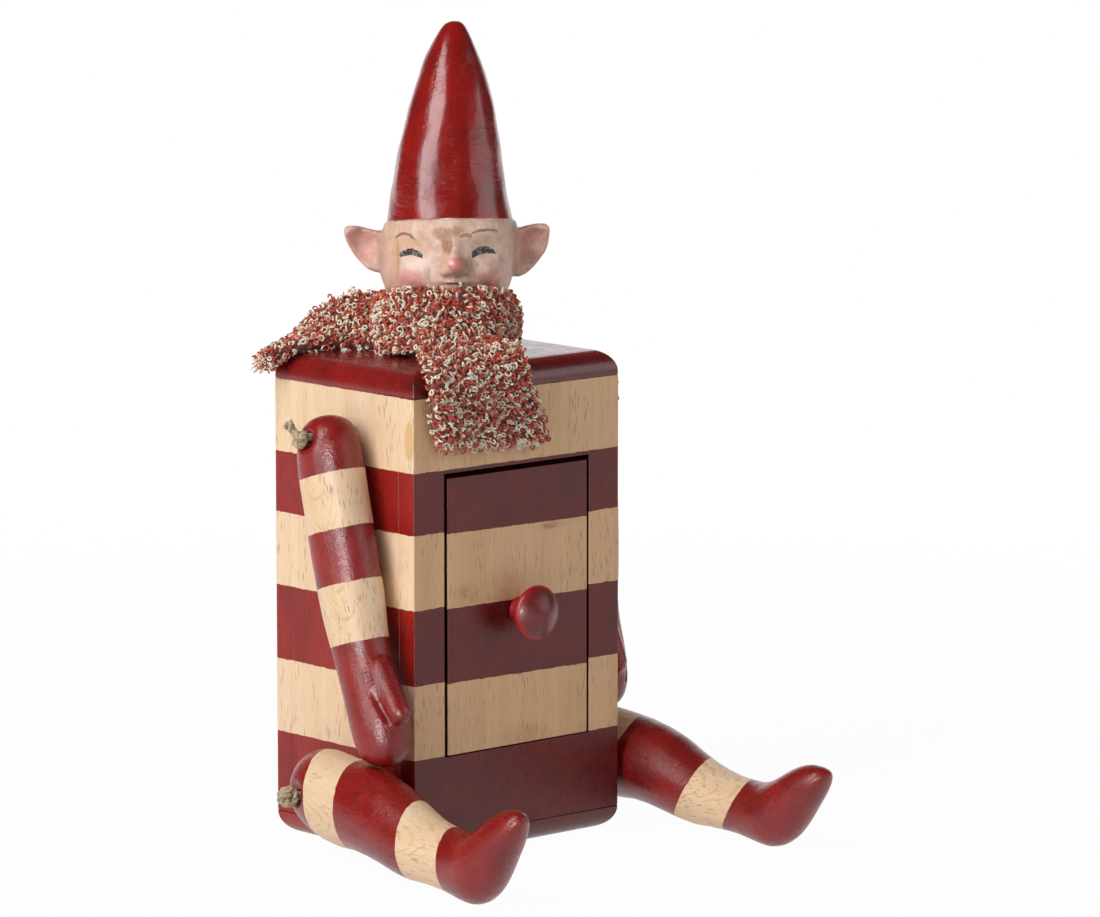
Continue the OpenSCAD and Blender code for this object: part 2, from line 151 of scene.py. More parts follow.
def cells(vector, scale, channel):  # distance from each cell's middle, and a number of the cell's own
    cell = feed("TexVoronoi", {"Vector": vector, "Scale": scale})
    return cell["Distance"], feed("SeparateColor", {0: cell["Color"]})[channel]


room = {"ambient": 0.12, "floor": (0.8, 0.8, 0.8),
        "glowNear": 0.97, "nearEdge": 0.2, "farEdge": 0.6,  # how white the floor looks, near and far
        "dark": 0.06, "backdrop": 1.4}  # in gloss: the unlit side of the room, the white behind the toy
lamps = {  # azimuth and elevation from the front, distance, width, height, watts
    "keySoftbox": (-86, 34, 1.1, 0.45, 1.25, 12.1),
    "sidePanel": (36, 18, 1.2, 1.1, 0.6, 3.4),
    "glossPanel": (-48, 5, 1.5, 0.4, 0.3, 15),
}


def lightStudio():
    world = bpy.data.worlds.new("paleRoom")
    scene.world = world
    world.use_nodes = True
    path = put(world.node_tree, "LightPath")
    seen = calc("MAXIMUM", path["Is Camera Ray"], path["Is Transmission Ray"])
    # what shines on gloss: a low white backdrop behind the toy, a dim room above and in front
    direction = put(world.node_tree, "TexCoord")["Generated"]
    ahead = dot(direction, outward(view["azimuth"]))
    backdrop = times(remap(axes(direction)["Z"], 0.62, 0.3), remap(ahead, -0.7, -0.93), room["backdrop"])
    glossy = path["Is Glossy Ray"]
    strength = plus(times(glossy, plus(backdrop, room["dark"])), times(minus(1, glossy), room["ambient"]))
    background = world.node_tree.nodes["Background"].inputs
    background["Color"].default_value = (1, 1, 1, 1)
    link(blend(seen, strength, 1), background["Strength"])
    for name, (azimuth, elevation, distance, width, height, watts) in lamps.items():
        data = bpy.data.lights.new(name, "AREA")
        data.shape, data.size, data.size_y, data.energy = "RECTANGLE", width, height, watts
        out = outward(azimuth, elevation)
        lamp = aimed(name, data, Vector((0, 0, 0.1)) + out*distance, out)
        lamp.visible_diffuse = name != "glossPanel"  # this one only shines on gloss
    bm = bmesh.new()
    bmesh.ops.create_grid(bm, x_segments=1, y_segments=1, size=8)
    floor = addObject("floor", bm)
    material, shader, coords = newMaterial("paleFloor", Roughness=0.9)
    shader["Base Color"].default_value = (*room["floor"], 1)
    tree = material.node_tree
    path = put(tree, "LightPath")
    seen = calc("MAXIMUM", path["Is Camera Ray"], path["Is Glossy Ray"])
    glow = put(tree, "Emission", {"Color": (1, 1, 1, 1), "Strength": 1})[0]
    far = feed("VectorMath", {0: coords}, operation="LENGTH")["Value"]
    white = times(seen, remap(far, room["nearEdge"], room["farEdge"], room["glowNear"], 1))
    plain = tree.nodes["Principled BSDF"].outputs[0]
    both = feed("MixShader", {0: white, 1: plain, 2: glow})[0]
    link(both, tree.nodes["Material Output"].inputs["Surface"])
    floor.data.materials.append(material)


bodyOf = {node: "drawer" for node in ("drawer_front", "drawer_right_side", "drawer_left_side", "drawer_back",
                                      "drawer_bottom", "knob", "knob_screw")}
bodyOf |= {limb: limb for limb in ("right_arm", "left_arm", "right_leg", "left_leg")}
bodyOf |= {"head": "head", "hat": "head"}


def addObject(name, bm):
    mesh = bpy.data.meshes.new(name)
    bm.to_mesh(mesh)
    bm.free()
    return addNew(name, mesh)


def applied(made):  # the mesh with its modifiers carried out; the object goes
    shape = made.evaluated_get(bpy.context.evaluated_depsgraph_get())
    mesh = bpy.data.meshes.new_from_object(shape)
    bpy.data.objects.remove(made)
    bm = bmesh.new()
    bm.from_mesh(mesh)
    bpy.data.meshes.remove(mesh)
    return bm


def finishPiece(name, bm, materials, node=None, body="box"):
    piece = addObject(name, bm)
    for material in materials:
        piece.data.materials.append(material)
    piece.data.shade_smooth()
    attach(piece, bodyOf.get(node, body))
    if node:
        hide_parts(node)
    return piece


def repaint(node, material):  # a CAD node that keeps its own shape
    nodes[node].data.materials.clear()
    nodes[node].data.materials.append(material)


def nodeCopy(node):  # a CAD node's mesh as one joined skin
    bm = bmesh.new()
    bm.from_mesh(nodes[node].data)
    bmesh.ops.remove_doubles(bm, verts=bm.verts, dist=0.005*mm)
    return bm


def remeshed(bm, voxel, rounds, swell):
    rough = addObject("rough", bm)
    rough.modifiers.new("voxels", "REMESH").voxel_size = voxel*mm
    bm = applied(rough)
    for _ in range(rounds):
        bmesh.ops.smooth_vert(bm, verts=bm.verts, factor=0.5, use_axis_x=True, use_axis_y=True,
                              use_axis_z=True)
    bm.normal_update()
    for vert in bm.verts:
        vert.co += vert.normal*swell*mm
    return bm


def newGroup(name, outputs, make, **inputs):  # make's parameters are the group's inputs
    tree = bpy.data.node_groups.new(name, "ShaderNodeTree")
    for socket, value in inputs.items():
        kind = {float: "Float", tuple: "Vector", list: "Color"}[type(value)]
        made = tree.interface.new_socket(socket, in_out="INPUT", socket_type="NodeSocket" + kind)
        made.default_value = value
    for socket in outputs:
        kind = "Color" if socket == "Color" else "Float"
        tree.interface.new_socket(socket, in_out="OUTPUT", socket_type="NodeSocket" + kind)
    start, end = tree.nodes.new("NodeGroupInput").outputs, tree.nodes.new("NodeGroupOutput").inputs
    for socket, value in zip(outputs, make(*(start[socket] for socket in inputs))):
        link(value, end[socket])
    return tree


def use(group, **inputs):
    return feed("Group", inputs, node_tree=group)


def fibres(vector, rayShare):  # beech: fine streaks along Z, short dark rays, wide soft bands
    streaks = remap(cloud(stretched(vector, 2300, 2300, 60), 1, 4, 0.7), 0.3, 0.72)
    far, chosen = cells(stretched(vector, 1900, 1900, 200), 1, 0)
    rare = remap(minus(chosen, rayShare), 0.02, -0.02)
    patch = remap(cloud(stretched(vector, 90, 90, 30), 1, 2), 0.36, 0.6, 0.15, 1)
    rays = times(remap(far, 0.42, 0.2), rare, patch)
    bands = remap(cloud(stretched(vector, 210, 210, 7), 1, 2), 0.32, 0.68)
    return streaks, rays, bands, minus(times(streaks, 0.5), rays)


def ringLines(vector, along, across, spacing, reach):  # growth rings that a carved surface cuts into arches
    side = calc("DIVIDE", across, reach)
    square = times(side, side)
    phase = minus(calc("DIVIDE", along, spacing), times(square, 1.5))
    phase = plus(phase, times(cloud(vector, 120, 2, 0.5), 1.6))
    wave = calc("SINE", times(phase, 6.283))
    broken = remap(cloud(vector, 260, 2), 0.4, 0.56)
    return times(remap(wave, 0.35, 0.95), broken, remap(square, 1.6, 0.7)),


def bandMask(position, low, high):  # 1 between two heights, 0 elsewhere
    return times(calc("GREATER_THAN", position, low), calc("LESS_THAN", position, high)),


def thinCoat(vector, grain, light, dark, shine):  # cloudy, a few pale specks on small pits in the bump, their paleness a painted glint, the grain showing through
    colour = mix(remap(cloud(vector, 70, 3), 0.3, 0.7), dark, light)
    colour = mix(times(grain, 0.24), colour, (0.045, 0.003, 0.003))
    far, chosen = cells(vector, 420, 1)
    speck = times(remap(far, 0.1, 0.05), calc("GREATER_THAN", chosen, 0.93))
    smear = cloud(vector, 260, 4, 0.7)
    rough = plus(shine, remap(smear, 0.25, 0.8, -0.05, 0.12))
    height = plus(times(smear, 0.5), cloud(vector, 1900, 2), speck)
    return mix(times(speck, 0.5), colour, (0.62, 0.25, 0.2)), rough, height


def spotMask(across, up, middleAcross, middleUp, halfWidth, halfHeight, soft):  # a soft round or oval patch
    u = calc("DIVIDE", minus(across, middleAcross), halfWidth)
    v = calc("DIVIDE", minus(up, middleUp), halfHeight)
    far = calc("SQRT", plus(times(u, u), times(v, v)))
    return remap(far, plus(1, soft), minus(1, soft)),


def archMask(across, up, middle, top, halfWidth, drop, thickness, heavyEnd):  # a stroke, thinner at its ends
    u = calc("DIVIDE", minus(across, middle), halfWidth)
    square = times(u, u)
    off = calc("ABSOLUTE", minus(up, minus(top, times(square, drop))))
    heavy = plus(minus(1, times(square, 0.45)), times(u, heavyEnd))
    edge = remap(minus(off, times(thickness, 0.5, heavy)), 0.12*mm, -0.12*mm)
    return times(edge, remap(calc("ABSOLUTE", u), 1.04, 0.92)),


zero = (0.0, 0.0, 0.0)
beechGrain = newGroup("beechGrain", ("Streaks", "Rays", "Bands", "Height"), fibres, vector=zero, rayShare=0.2)
growthRings = newGroup("growthRings", ("Lines",), ringLines, vector=zero, along=0.0, across=0.0,
                       spacing=2.6*mm, reach=5*mm)
paintedBand = newGroup("paintedBand", ("Mask",), bandMask, position=0.0, low=0.0, high=1.0)
redFilm = newGroup("redFilm", ("Color", "Roughness", "Height"), thinCoat, vector=zero, grain=0.0,
                   light=[0.3, 0.01, 0.008, 1], dark=[0.2, 0.006, 0.005, 1], shine=0.3)
softSpot = newGroup("softSpot", ("Mask",), spotMask, across=0.0, up=0.0, middleAcross=0.0, middleUp=0.0,
                    halfWidth=1.0, halfHeight=1.0, soft=0.6)
archStroke = newGroup("archStroke", ("Mask",), archMask, across=0.0, up=0.0, middle=0.0, top=0.0,
                      halfWidth=1.0, drop=1.0, thickness=1.0, heavyEnd=0.0)


def oval(across, up, x, h, w, t, soft):  # a soft spot, its middle and half sizes in mm
    return use(softSpot, across=across, up=up, middleAcross=x*mm, middleUp=h*mm, halfWidth=w*mm,
               halfHeight=t*mm, soft=soft)["Mask"]


beech = {"pale": ((0.8, 0.54, 0.32), (0.92, 0.69, 0.47)),
         # a browner bare wood: painted shade for the faces turned to the front
         "shadedBrown": ((0.71, 0.432, 0.23), (0.83, 0.537, 0.305)),
         "ray": (0.4, 0.21, 0.1), "ring": (0.7, 0.42, 0.18), "knot": (0.72, 0.42, 0.16),
         "stain": (0.42, 0.18, 0.06)}
red = {"side": ((0.27, 0.009, 0.006), (0.36, 0.014, 0.009)),
       # a darker red: painted shade for the faces turned to the front
       "front": ((0.115, 0.0065, 0.0065), (0.17, 0.0085, 0.008)),
       "limb": ((0.23, 0.008, 0.006), (0.34, 0.012, 0.009)),
       "lid": ((0.2, 0.006, 0.005), (0.3, 0.009, 0.007)),
       # a brighter red: painted light on the knob's lit rim
       "knob": ((0.38, 0.007, 0.012), (0.52, 0.01, 0.02)),
       "hat": ((0.21, 0.006, 0.004), (0.34, 0.009, 0.006)),
       # the two tones on this line are painted shade: on roundings and faces turned to the front, and in the
       # gap round the drawer
       "frontShadeRed": (0.105, 0.0065, 0.007), "gapShade": (0.014, 0.005, 0.004)}


def newMaterial(name, **sockets):
    material = bpy.data.materials.new(name)
    material.use_nodes = True
    shader = material.node_tree.nodes["Principled BSDF"].inputs
    for socket, value in sockets.items():
        shader[socket.replace("_", " ")].default_value = value
    return material, shader, put(material.node_tree, "TexCoord")["Object"]


def coat(shader, colour, height, depth, rough=None):  # depth of the bumps in mm
    link(colour, shader["Base Color"])
    link(feed("Bump", {"Height": height, "Distance": depth*mm})[0], shader["Normal"])
    if rough is not None:
        link(rough, shader["Roughness"])


def woodColour(coords, rays=0.2, rings=None, dark=beech["pale"][0], light=beech["pale"][1]):
    # rings: directions along and across the arches, their middle, spacing and half width in mm
    grain = use(beechGrain, vector=coords, rayShare=rays)
    colour = mix(plus(times(grain["Streaks"], 0.45), times(grain["Bands"], 0.55)), dark, light)
    if rings:
        ahead, sideways, middle, spacing, reach = rings
        lines = use(growthRings, vector=coords, along=dot(coords, ahead),
                    across=minus(dot(coords, sideways), middle*mm), spacing=spacing*mm, reach=reach*mm)
        colour = mix(times(lines["Lines"], 0.7), colour, beech["ring"])
    return mix(times(grain["Rays"], 0.75), colour, beech["ray"]), grain


def stripedFinish(name, tone, direction, origin, bands, rays, grainTurn=(0, 0, 0), rings=None, knot=None,
                  stains=()):
    # bands are given in mm along direction from origin: red on the boards, bare wood on the limbs
    limb = tone == "limb"
    material, shader, coords = newMaterial(name, Specular_IOR_Level=0.54 if limb else 0.42)
    (dark, light), (deep, bright) = beech["pale"], red[tone]
    parts = axes(coords)
    across = calc("ABSOLUTE", parts["X"])
    if tone == "front":  # the front is painted darker than its own ends, which show in the sides: painted shade on the faces turned to the front
        end = calc("GREATER_THAN", across, 39.85*mm)
        dark, light = mix(end, beech["shadedBrown"][0], dark), mix(end, beech["shadedBrown"][1], light)
        deep, bright = mix(end, deep, red["side"][0]), mix(end, bright, red["side"][1])
    else:
        deep, bright = [*deep, 1], [*bright, 1]
    colour, grain = woodColour(turned(coords, *grainTurn), rays, rings, dark, light)
    if knot:
        side = calc("LESS_THAN", parts["X"], -39*mm)
        colour = mix(times(oval(parts["Y"], parts["Z"], *knot, 0.12), side, 0.7), colour, beech["knot"])
    for x, z, w, h, amount in stains:
        patchy = remap(cloud(coords, 330, 4), 0.38, 0.6, 0.2, amount)
        colour = mix(times(oval(parts["X"], parts["Z"], x, z, w, h, 0.8), patchy), colour, beech["stain"])
    along = minus(dot(coords, direction), Vector(origin).dot(Vector(direction)))
    for scale, ragged in ((260, 0.2*mm), (1900, 0.15*mm)):  # hand painted edges
        along = plus(along, remap(cloud(coords, scale, 2), 0.2, 0.8, -ragged, ragged, False))
    mask = plus(*(use(paintedBand, position=along, low=low*mm, high=high*mm)["Mask"] for low, high in bands))
    if limb:
        mask = minus(1, mask)
    worn = plus(grain["Streaks"], times(grain["Rays"], 2.6))
    film = use(redFilm, vector=coords, grain=worn, light=bright, dark=deep, shine=0.27 if limb else 0.3)
    colour = mix(mask, colour, film["Color"])
    if tone == "front":  # painted shade in the mouth of the gap round the drawer, and along its upper edge
        upper = calc("GREATER_THAN", parts["Z"], 112.8*mm)
        mouth = calc("MAXIMUM", remap(parts["Y"], -29.2*mm, -30.4*mm), upper)
        gap = times(calc("GREATER_THAN", parts["Y"], -31.1*mm), calc("LESS_THAN", across, 38*mm))
        colour = mix(times(gap, mouth), colour, red["gapShade"])
    height = times(grain["Height"], remap(mask, 0, 1, 1, 0.35, False))
    height = plus(height, times(film["Height"], mask, 0.6))
    if limb:  # the limbs' coat is rough enough to sparkle
        height = plus(height, times(cloud(coords, 1500, 2), mask, 2.1))
    bare = remap(grain["Streaks"], 0, 1, 0.5, 0.4)
    coat(shader, colour, plus(height, mask), 0.06, blend(mask, bare, film["Roughness"]))
    return material


def redFinish(name, tone, shine, gloss, dent=0, face=None):
    material, shader, coords = newMaterial(name, Coat_Weight=gloss, Coat_Roughness=0.08)
    grain = use(beechGrain, vector=turned(coords, y=90), rayShare=0.2)
    dark, light = red[tone]
    film = use(redFilm, vector=coords, grain=grain["Streaks"], light=[*light, 1], dark=[*dark, 1],
               shine=shine)
    colour = film["Color"]
    if face:  # the side towards the front is painted browner and darker: painted shade
        parts = axes(coords)
        front = remap(parts["Y"], face[0]*mm, face[1]*mm, 0, 0.85)
        front = times(front, calc("LESS_THAN", calc("ABSOLUTE", parts["X"]), 39.8*mm))
        colour = mix(front, colour, red["frontShadeRed"])
    height = plus(times(grain["Height"], 0.3), film["Height"])
    if dent:
        ridges = cloud(stretched(coords, 280, 280, 820), 1, 4)
        ridges = times(ridges, remap(cloud(coords, 60, 1), 0.35, 0.65, 0.2, 2.6))
        height = plus(height, times(plus(cloud(stretched(coords, 190, 190, 60), 1, 2), ridges), dent))
    coat(shader, colour, height, 0.05, film["Roughness"])
    return material


def plainFinish(name, turn=(0, 0, 0)):
    material, shader, coords = newMaterial(name)
    colour, grain = woodColour(turned(coords, *turn))
    coat(shader, colour, grain["Height"], 0.05, remap(grain["Streaks"], 0, 1, 0.58, 0.48))
    return material


def turning(degrees, axis, size=3):
    return Matrix.Rotation(radians(degrees), size, axis)


def latheShape(rows):  # a closed skin turned round Z, through radii and heights in mm
    bm = bmesh.new()
    points = [bm.verts.new((r*mm, 0, z*mm)) for r, z in rows]
    for a, b in zip(points, points[1:]):
        bm.edges.new((a, b))
    bmesh.ops.spin(bm, geom=bm.verts[:] + bm.edges[:], cent=(0, 0, 0), axis=(0, 0, 1), angle=tau,
                   steps=40, use_merge=True)
    bmesh.ops.remove_doubles(bm, verts=bm.verts, dist=0.001*mm)
    bmesh.ops.recalc_face_normals(bm, faces=bm.faces)
    return bm


def roundOff(made):
    rounding = made.modifiers.new("rounding", "SUBSURF")
    rounding.levels = rounding.render_levels = 2


def stepped(t):  # from 0 to 1, slow at both ends
    return t*t*(3 - 2*t)


def between(rows, i, f):  # on a smooth curve through the rows, f of the way from row i to the next
    a, b, c, d = rows[max(i - 1, 0)], rows[i], rows[i + 1], rows[min(i + 2, len(rows) - 1)]
    return 0.5*(2*b + (c - a)*f + (2*a - 5*b + 4*c - d)*f*f + (3*b - a - 3*c + d)*f**3)


def roundStrands(name, lines, thick, sides, ends=1, colours=()):  # lines: points in mm, and which colour
    curve = bpy.data.curves.new(name, "CURVE")
    curve.dimensions, curve.use_fill_caps = "3D", True
    curve.bevel_depth, curve.bevel_resolution = thick*mm, sides
    for material in colours:
        curve.materials.append(material)
    for points, colour in lines:
        spline = curve.splines.new("POLY")
        spline.points.add(len(points) - 1)
        spline.points.foreach_set("co", [c for p in points for c in (p.x*mm, p.y*mm, p.z*mm, 1)])
        spline.points[0].radius = spline.points[-1].radius = ends
        spline.material_index = colour
    return applied(addNew(name + "Curve", curve))


boards = {
    "ease": {"striped_board": 0.3, "red_board": 0.4, "plain_beech": 0.2},
    "gap": (0.5, 0.15, 0.2), "gapFrom": (20, 80),  # planed off right, left and top; from where
    "redHeights": [(-5, 31), (53, 75.2), (97.2, 115.4), (137, 150)],
    "drawerUp": (0.0107, 0, 1), "drawerLow": (0, 0, -1*mm),
    "knot": (-29.6, 124.8, 2.1, 5.6),  # on the side: depth, height and half sizes
    # on the drawer: across, up, half width and height in mm, amount
    "stains": [(-4.5, 80, 5, 6, 0.35), (-19.5, 77.6, 4, 3, 0.55), (13.5, 94.7, 4.5, 0.9, 0.9),
               (3, 33, 9, 3, 0.3)],
    "striped": {"frontBoard": "front_frame", "backBoard": "back_panel", "rightBoard": "right_side",
                "leftBoard": "left_side"},
    "inside": {"drawerShelf": "drawer_shelf", "drawerCeiling": "drawer_ceiling",
               "guideRight": "drawer_guide_right", "guideLeft": "drawer_guide_left",
               "trayRight": "drawer_right_side", "trayLeft": "drawer_left_side", "trayBack": "drawer_back",
               "trayBottom": "drawer_bottom"},
    "lengthwise": ("guideRight", "guideLeft", "trayRight", "trayLeft"),
}


def easedBoard(name, node, material, slot, gap=None):
    bm = nodeCopy(node)
    if gap:  # edges planed back a little, for the dark line round the drawer
        right, left, top = gap
        across, up = boards["gapFrom"]
        for vert in bm.verts:
            if abs(vert.co.x) > across*mm:
                vert.co.x += (right if vert.co.x < 0 else -left)*mm
                vert.co.z -= top*mm if vert.co.z > up*mm else 0
    bmesh.ops.dissolve_limit(bm, angle_limit=radians(1), verts=bm.verts, edges=bm.edges)
    # long edges and the box's own corners; the rims of the bored holes stay
    sharp = [edge for edge in bm.edges if len(edge.link_faces) == 2
             and edge.calc_face_angle(0) > radians(25)
             and (edge.calc_length() > 3*mm or min(abs(v.co.x) for v in edge.verts) > 30*mm
                  and min(abs(v.co.y) for v in edge.verts) > 20*mm)]
    bmesh.ops.bevel(bm, geom=sharp, offset=boards["ease"][slot]*mm, offset_type="OFFSET", segments=2,
                    profile=0.5, affect="EDGES", material=-1, clamp_overlap=True)
    piece = finishPiece(name, bm, [material], node)
    piece.data.set_sharp_from_angle(angle=radians(50))
    piece.modifiers.new("evenShading", "WEIGHTED_NORMAL").keep_sharp = True


def buildBox():
    up, base, heights = (0, 0, 1), (0, 0, 0), boards["redHeights"]
    striped = stripedFinish("stripedBoards", "side", up, base, heights, 0.22)
    front = stripedFinish("stripedFront", "front", up, base, heights, 0.5, knot=boards["knot"])
    # the drawer's stripes sit a little lower than the frame's, more so on the right
    drawer = stripedFinish("stripedDrawer", "front", boards["drawerUp"], boards["drawerLow"], heights, 0.5,
                           stains=boards["stains"])
    lid = redFinish("redLid", "lid", 0.28, 0.25, face=(-27, -30))
    underside = redFinish("redBase", "side", 0.3, 0, face=(-24, -26))
    plain = plainFinish("plainBeech")
    across = plainFinish("plainBeechAcross", (0, 90, 0))
    along = plainFinish("plainBeechAlong", (90, 0, 0))
    for name, node in boards["striped"].items():
        easedBoard(name, node, front if name == "frontBoard" else striped, "striped_board")
    easedBoard("drawerFront", "drawer_front", drawer, "striped_board", boards["gap"])
    easedBoard("lidBoard", "top_board", lid, "red_board")
    easedBoard("baseBoard", "bottom_board", underside, "red_board")
    for name, node in boards["inside"].items():
        easedBoard(name, node, along if name in boards["lengthwise"] else across, "plain_beech")
    repaint("neck_dowel", plain)
    print("box and drawer")


knob = {
    "height": 71.2, "front": -31.5, "shadedFace": (-39.8, -42.4),
    "profile": [(0, 0), (4.2, 0), (3.6, 1.4), (3.4, 3.2), (4.2, 5), (6.4, 6.6), (7.8, 7.2), (8.3, 8.2),
                (7.95, 9.2), (7, 10.2), (5.6, 11.15), (3.9, 12.05), (2, 12.8), (0, 13.2)],
}


def buildKnob():
    bm = latheShape(knob["profile"])
    place = Matrix.Translation((0, knob["front"]*mm, knob["height"]*mm)) @ turning(90, "X", 4)
    bmesh.ops.transform(bm, matrix=place, verts=bm.verts)
    # the knob's face is painted browner: painted shade
    glossy = redFinish("redKnob", "knob", 0.36, 0.12, face=knob["shadedFace"])
    roundOff(finishPiece("turnedKnob", bm, [glossy], "knob"))
    brass, shader, coords = newMaterial("brassScrew", Metallic=1)
    rub = cloud(stretched(coords, 3000, 300, 3000), 1, 4)
    link(mix(rub, (0.55, 0.4, 0.18), (0.78, 0.62, 0.34)), shader["Base Color"])
    link(remap(rub, 0.2, 0.8, 0.25, 0.45), shader["Roughness"])
    repaint("knob_screw", brass)
    print("knob")


limbs = {
    "voxel": 0.5, "rounds": 18, "swell": 0.16, "uneven": 0.16, "lumps": 75,
    "shoulder": (0, -5, 125), "hip": (0, -5, 20), "boxHalf": 40,
    "armBands": [(12, 29.1), (45.6, 63.8)], "armLean": 0.32, "armTilt": 17.7, "armBack": (0, 12),
    "legWays": [(0.25, -1, 0.08), (0.5, -1, -0.59)],
    "legBands": [[(-0.9, 14.4), (41.9, 59.5)], [(3, 21.3), (55.5, 75.9)]],
    "armRings": [((0, 0, 1), (0, 1, 0), -43.6, 4.4, 3.6), ((0, 0, 1), (0, 1, 0), -17.4, 4.4, 3.6)],
    "legRings": ((0, 0, 1), (0, 1, 0), -16, 5.2, 4.4),
    "crease": ((71.5, 26.2), (79, 31), 1.25, 1.2),  # drop and reach of both ends, half width, depth
}


def thumbCrease(bm, hang):  # a carved groove between the mitten and its thumb, on both faces
    top, foot, wide, deep = limbs["crease"]
    pivot = Vector(limbs["shoulder"])
    a, b = (pivot + hang @ Vector((0, -reach, -drop)) for drop, reach in (top, foot))
    for vert in bm.verts:
        point = Vector((0, vert.co.y, vert.co.z))/mm
        t = min(max((point - a).dot(b - a)/(b - a).length_squared, 0), 1)
        near = 1 - (point - a.lerp(b, t)).length/wide
        if near > 0:
            vert.co -= vert.normal*deep*mm*stepped(near)*(0.15 + 0.85*t)


def carvedLimb(name, node, material, hang=None):
    bm = remeshed(nodeCopy(node), limbs["voxel"], limbs["rounds"], limbs["swell"])
    if hang:
        thumbCrease(bm, hang)
        bm.normal_update()
    for vert in bm.verts:
        vert.co += vert.normal*noise.noise(vert.co*limbs["lumps"])*limbs["uneven"]*mm
    finishPiece(name, bm, [material], node)


def buildLimbs():
    shoulder, hip = Vector(limbs["shoulder"])*mm, Vector(limbs["hip"])*mm
    for i, side in enumerate(("right", "left")):
        back = limbs["armBack"][i]
        hang = turning(back, "X")
        down = hang @ Vector((0, -limbs["armLean"], -1))
        arm = stripedFinish(side + "ArmPaint", "limb", down, shoulder, limbs["armBands"], 0.42,
                            (limbs["armTilt"] - back, 0, 0), limbs["armRings"][i])
        carvedLimb(side + "ArmCarved", side + "_arm", arm, hang)
        start = hip + Vector(((2*i - 1)*limbs["boxHalf"]*mm, 0, 0))
        leg = stripedFinish(side + "LegPaint", "limb", limbs["legWays"][i], start, limbs["legBands"][i], 0.5,
                            (90, 0, 0), limbs["legRings"])
        carvedLimb(side + "LegCarved", side + "_leg", leg)
    print("limbs")


head = {
    "turn": 36, "foot": 149.5, "voxel": 0.4, "rounds": 14, "swell": 0.25,
    # modelled forms: across, up, half sizes and depth, in mm from the head's axis and its underside
    "forms": [
        (0.7, 23.5, 2.3, 2, 1.1), (-2.6, 21.4, 1.5, 1.5, 0.9), (4, 21.4, 1.5, 1.5, 0.9),
        (-1.2, 19.6, 1, 0.8, -0.7), (2.6, 19.6, 1, 0.8, -0.7), (0.3, 28, 1.8, 4, 0.6),
        (-10.5, 20.8, 4, 3, 0.9), (10.5, 20.8, 4, 3, 0.9), (-6.3, 20, 1.1, 3, -0.5),
        (6.8, 20, 1.1, 3, -0.5), (-11.7, 25.3, 3.4, 1.1, -0.55), (9.5, 25.8, 3.4, 1.1, -0.55),
        (-11.7, 27.2, 3.4, 0.8, 0.35), (9.5, 27.8, 3.6, 0.8, 0.35), (0, 18.2, 3.2, 1, 0.5),
        (0, 17, 3.6, 0.5, -0.6),
    ],
    # patches of paint: across, up and half sizes in mm, colour, amount, softness where not 0.6
    "patches": [
        (-9.3, 21.8, 4.4, 3.4, (0.88, 0.66, 0.58), 0.85, 0.4),  # cheeks and temples
        (-12, 19, 3.4, 2.6, (0.8, 0.33, 0.3), 0.85),
        (-16, 17, 3.4, 2.6, (0.7, 0.3, 0.26), 0.6),
        (11.5, 18.6, 4.4, 3.2, (0.55, 0.22, 0.18), 0.6),
        (-16.6, 25.5, 1.3, 7, (0.6, 0.31, 0.13), 0.5, 0.9),
        (-12.5, 28.5, 4, 2, (0.66, 0.36, 0.16), 0.35),
        (-1.7, 29.6, 1.6, 3.2, (0.33, 0.13, 0.055), 1, 0.3),  # hair on the forehead
        (-2.9, 32.2, 2.7, 1.8, (0.4, 0.17, 0.075), 0.9, 0.3),
        (0.8, 33, 2.4, 1.3, (0.38, 0.18, 0.1), 0.7, 0.4),
        (-15.4, 24, 0.45, 5, (0.45, 0.2, 0.08), 0.6, 0.7),
        (2, 26.5, 1.2, 3, (0.45, 0.24, 0.14), 0.4),  # shadows round the nose
        (4.6, 22.6, 2, 2.6, (0.3, 0.16, 0.1), 0.7),
        (1, 19.9, 3.6, 1.1, (0.3, 0.15, 0.09), 0.65),
        (7.5, 30, 4.5, 1.6, (0.5, 0.3, 0.18), 0.4),
        (1.6, 23, 2.7, 2.3, (0.4, 0.17, 0.12), 0.7, 0.3),  # the nose: a darker rim on the tip's right and lower side, the pink tip, and a painted highlight on its left
        (0.7, 23.7, 2.2, 2, (0.68, 0.22, 0.2), 1, 0.2),
        # a painted highlight on the nose tip
        (-0.7, 24.3, 0.7, 0.75, (0.95, 0.72, 0.7), 0.7, 0.4),
    ],
    # mouth, brows and hair: middle, top, half width, drop and thickness in mm, colour, amount
    "strokes": [
        (0.2, 17.6, 3.4, 0.5, 0.45, (0.12, 0.03, 0.02), 1),
        (-13.3, 31.7, 2.9, 1.8, 0.95, (0.31, 0.11, 0.035), 0.9),
        (9.6, 33, 4.1, 0.9, 0.8, (0.31, 0.11, 0.035), 0.85),
        (4, 31.8, 1.9, 0.5, 1.2, (0.42, 0.16, 0.06), 0.8),
    ],
    # eyes: the same in mm, and how much heavier one end is
    "eyes": [(-11.7, 26.5, 3.3, 1.3, 2.1, 0), (9.5, 27, 3.8, 1.3, 2.3, -0.35)],
    "ear": (25, 26.5, 4.6, 4.6), "earFrom": (19.5, 22.5),
}


def buildHead():
    bm = remeshed(nodeCopy("head"), head["voxel"], head["rounds"], head["swell"])
    ahead = turning(head["turn"], "Z")
    for vert in bm.verts:
        place = ahead @ vert.co / mm
        across, up = place.x, place.z - head["foot"]
        out = noise.noise(vert.co*420)*0.12 + noise.noise(vert.co*130)*0.2
        if place.y < 0:
            out += sum(depth*exp(-((across - x)/w)**2 - ((up - h)/t)**2)
                       for x, h, w, t, depth in head["forms"])
        vert.co += vert.normal*out*mm
    bm.normal_update()
    finishPiece("paintedHead", bm, [skinFinish()], "head")
    print("head")


